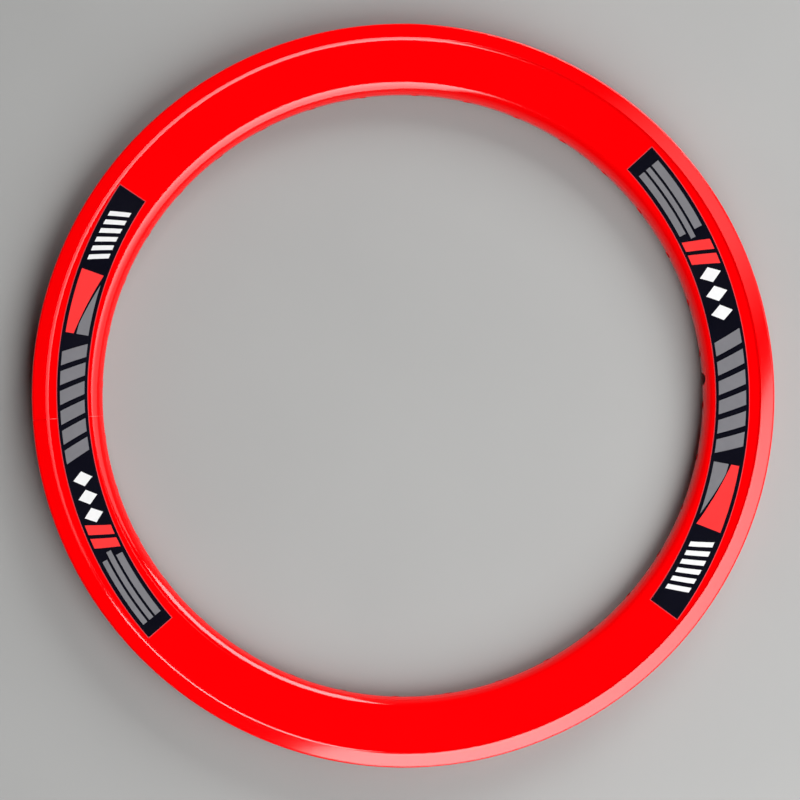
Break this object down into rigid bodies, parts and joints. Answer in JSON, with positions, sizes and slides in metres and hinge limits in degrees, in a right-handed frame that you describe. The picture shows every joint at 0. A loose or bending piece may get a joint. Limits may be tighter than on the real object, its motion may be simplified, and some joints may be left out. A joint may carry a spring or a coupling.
{
  "type": "bicycle rim",
  "caption": "Deep-section double-wall bicycle rim for a small 406 mm tyre, painted gloss red, with printed films along one side, drilled for spoke nipples and a valve.",
  "frame": {"origin": "the wheel's centre, on the axle's axis, half way through the rim's width", "axes": "+Z along the axle's axis, towards the side with the printed films; +X from the centre to the valve hole; +Y a quarter turn from there"},
  "size_m": [0.419, 0.419, 0.024],
  "materials": {
    "red_paint": "gloss red paint over aluminium",
    "bare_aluminium": "as extruded",
    "printed_film": "printed film under clear gloss"
  },
  "bodies": {
    "root": {"rim": "red_paint", "joint_sleeve": "bare_aluminium", "decal_valve_side": "printed_film", "decal_seam_side": "printed_film"}
  },
  "joints": []
}
